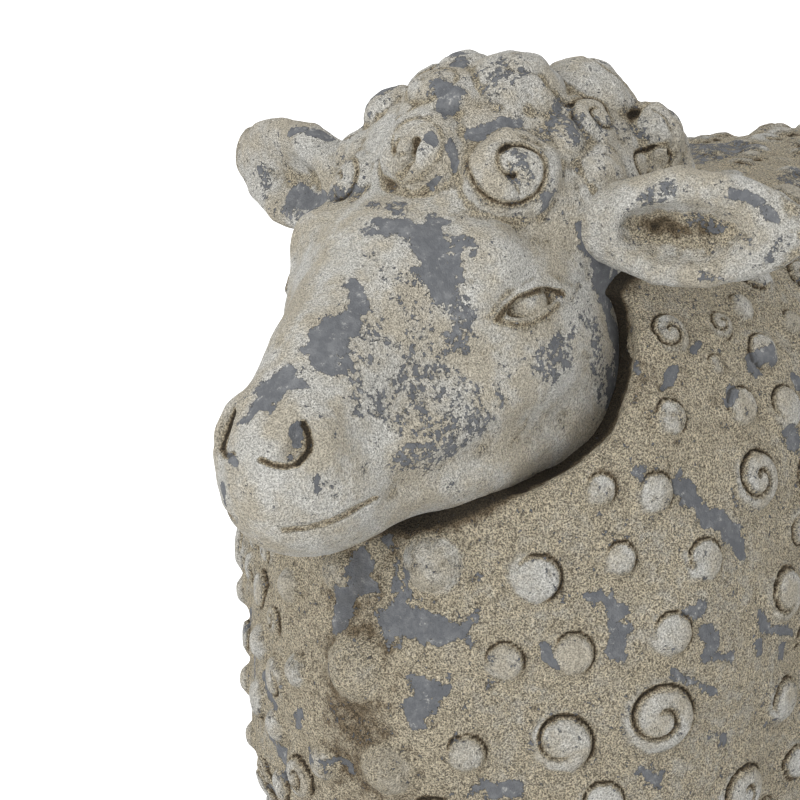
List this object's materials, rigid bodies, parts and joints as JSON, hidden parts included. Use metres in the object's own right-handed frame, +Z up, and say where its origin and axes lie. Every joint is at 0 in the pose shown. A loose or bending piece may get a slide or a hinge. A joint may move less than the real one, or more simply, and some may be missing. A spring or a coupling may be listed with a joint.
{
  "type": "sheep figurine",
  "caption": "Standing garden sheep with curled fleece, woolly cap, sideways ears and short legs, cast in weathered sandy cement.",
  "frame": {"origin": "middle of the footprint box, on the ground under the hooves", "axes": "+Z up, the sheep faces -Y, +X is its left side"},
  "size_m": [0.2746, 0.5924, 0.4547],
  "materials": {
    "fleece_casting": "cream sandy crust flaked off dark slate grey cement",
    "head_casting": "cream sandy crust flaked off dark slate grey cement",
    "leg_casting": "cream sandy crust flaked off dark slate grey cement",
    "tail_casting": "cream sandy crust flaked off dark slate grey cement",
    "mortar": "rough grey mortar",
    "steel": "dull mill finish"
  },
  "bodies": {
    "root": {"belly_plug": "mortar", "ear_left": "head_casting", "ear_pin_left": "steel", "ear_pin_right": "steel", "ear_right": "head_casting", "fleece_shell_left": "fleece_casting", "fleece_shell_right": "fleece_casting", "front_tie": "steel", "head_casting": "head_casting", "leg_front_left": "leg_casting", "leg_front_right": "leg_casting", "leg_pad_front_left": "mortar", "leg_pad_front_right": "mortar", "leg_pad_rear_left": "mortar", "leg_pad_rear_right": "mortar", "leg_rear_left": "leg_casting", "leg_rear_right": "leg_casting", "leg_rod_front_left": "steel", "leg_rod_front_right": "steel", "leg_rod_rear_left": "steel", "leg_rod_rear_right": "steel", "neck_dowel": "steel", "rear_tie": "steel", "seam_bandage": "mortar", "tail": "tail_casting", "tail_pin": "steel"}
  },
  "joints": []
}
